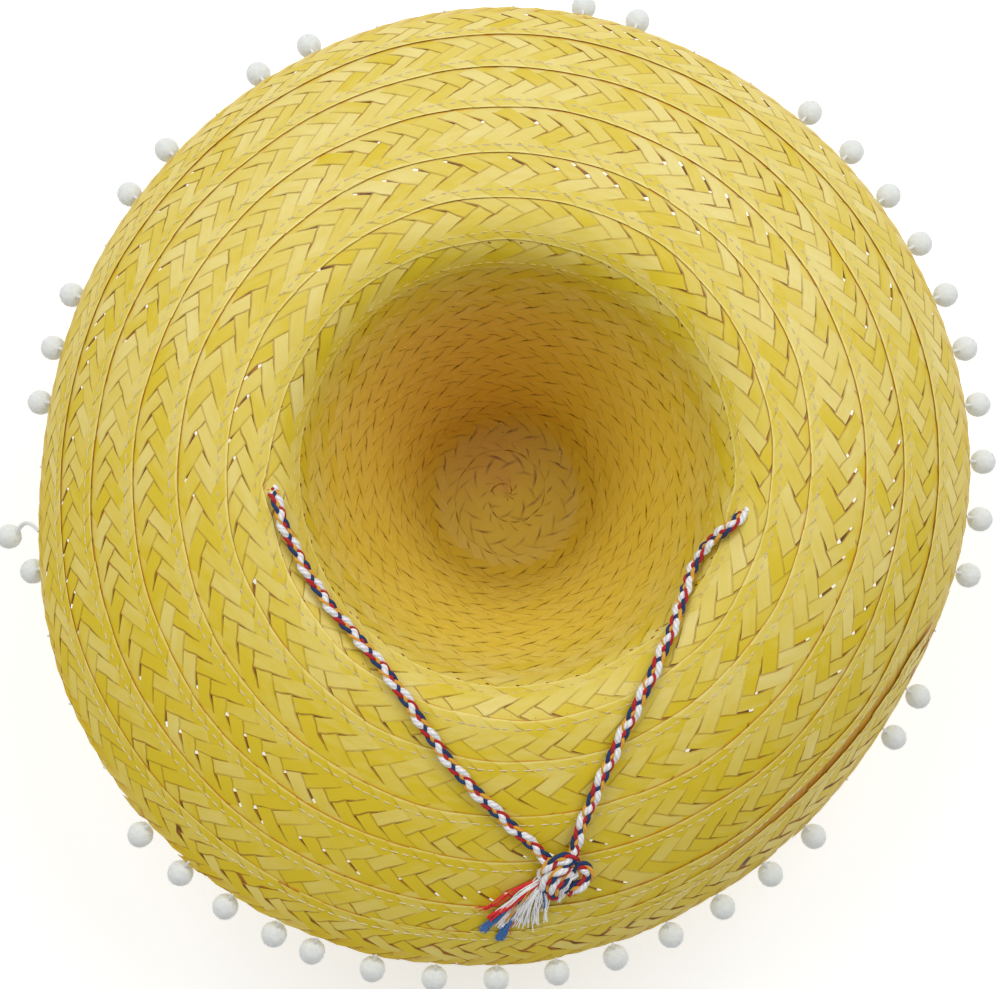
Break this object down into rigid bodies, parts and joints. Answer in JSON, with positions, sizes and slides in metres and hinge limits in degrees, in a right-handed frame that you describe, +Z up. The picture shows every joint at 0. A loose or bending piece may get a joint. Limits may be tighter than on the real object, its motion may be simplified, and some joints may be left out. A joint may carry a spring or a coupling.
{
  "type": "straw sombrero",
  "caption": "Wide straw hat sewn from a spiral of plaited straw: tall tapered crown with a flat top, curled brim edged with wool pompoms, and a braided chin cord knotted at its ends.",
  "frame": {"origin": "centre of the crown's flat top, on the surface that the hat stands on upside down", "axes": "+Z up out of the mouth of the crown, +X to the right and +Y away from the knot as it is seen from above"},
  "size_m": [0.5952, 0.5896, 0.2337],
  "materials": {
    "straw_plait": "dyed yellow straw strips, satin, plaited and sewn in lapped rows",
    "white_wool": "soft fuzzy wool balls on white thread",
    "braided_cord": "round braid of white, red, dark blue and golden yarns"
  },
  "bodies": {
    "root": {"crown": "straw_plait", "brim": "straw_plait", "pompom_01": "white_wool", "pompom_02": "white_wool", "pompom_03": "white_wool", "pompom_04": "white_wool", "pompom_05": "white_wool", "pompom_06": "white_wool", "pompom_07": "white_wool", "pompom_08": "white_wool", "pompom_09": "white_wool", "pompom_10": "white_wool", "pompom_11": "white_wool", "pompom_12": "white_wool", "pompom_13": "white_wool", "pompom_14": "white_wool", "pompom_15": "white_wool", "pompom_16": "white_wool", "pompom_17": "white_wool", "pompom_18": "white_wool", "pompom_19": "white_wool", "pompom_20": "white_wool", "pompom_21": "white_wool", "pompom_22": "white_wool", "pompom_23": "white_wool", "pompom_24": "white_wool", "pompom_25": "white_wool", "pompom_26": "white_wool", "pompom_27": "white_wool", "pompom_28": "white_wool", "pompom_29": "white_wool", "pompom_30": "white_wool", "pompom_31": "white_wool", "pompom_32": "white_wool", "pompom_33": "white_wool", "pompom_34": "white_wool", "pompom_35": "white_wool", "pompom_36": "white_wool", "pompom_37": "white_wool", "pompom_38": "white_wool", "pompom_39": "white_wool", "pompom_40": "white_wool", "pompom_41": "white_wool", "pompom_42": "white_wool", "pompom_43": "white_wool", "pompom_44": "white_wool", "pompom_45": "white_wool", "pompom_46": "white_wool", "pompom_47": "white_wool", "pompom_48": "white_wool", "pompom_49": "white_wool", "pompom_50": "white_wool", "chin_cord_left": "braided_cord", "chin_cord_right": "braided_cord", "cord_round_crown": "braided_cord", "cord_knot": "braided_cord", "cord_tassel": "braided_cord"}
  },
  "joints": []
}
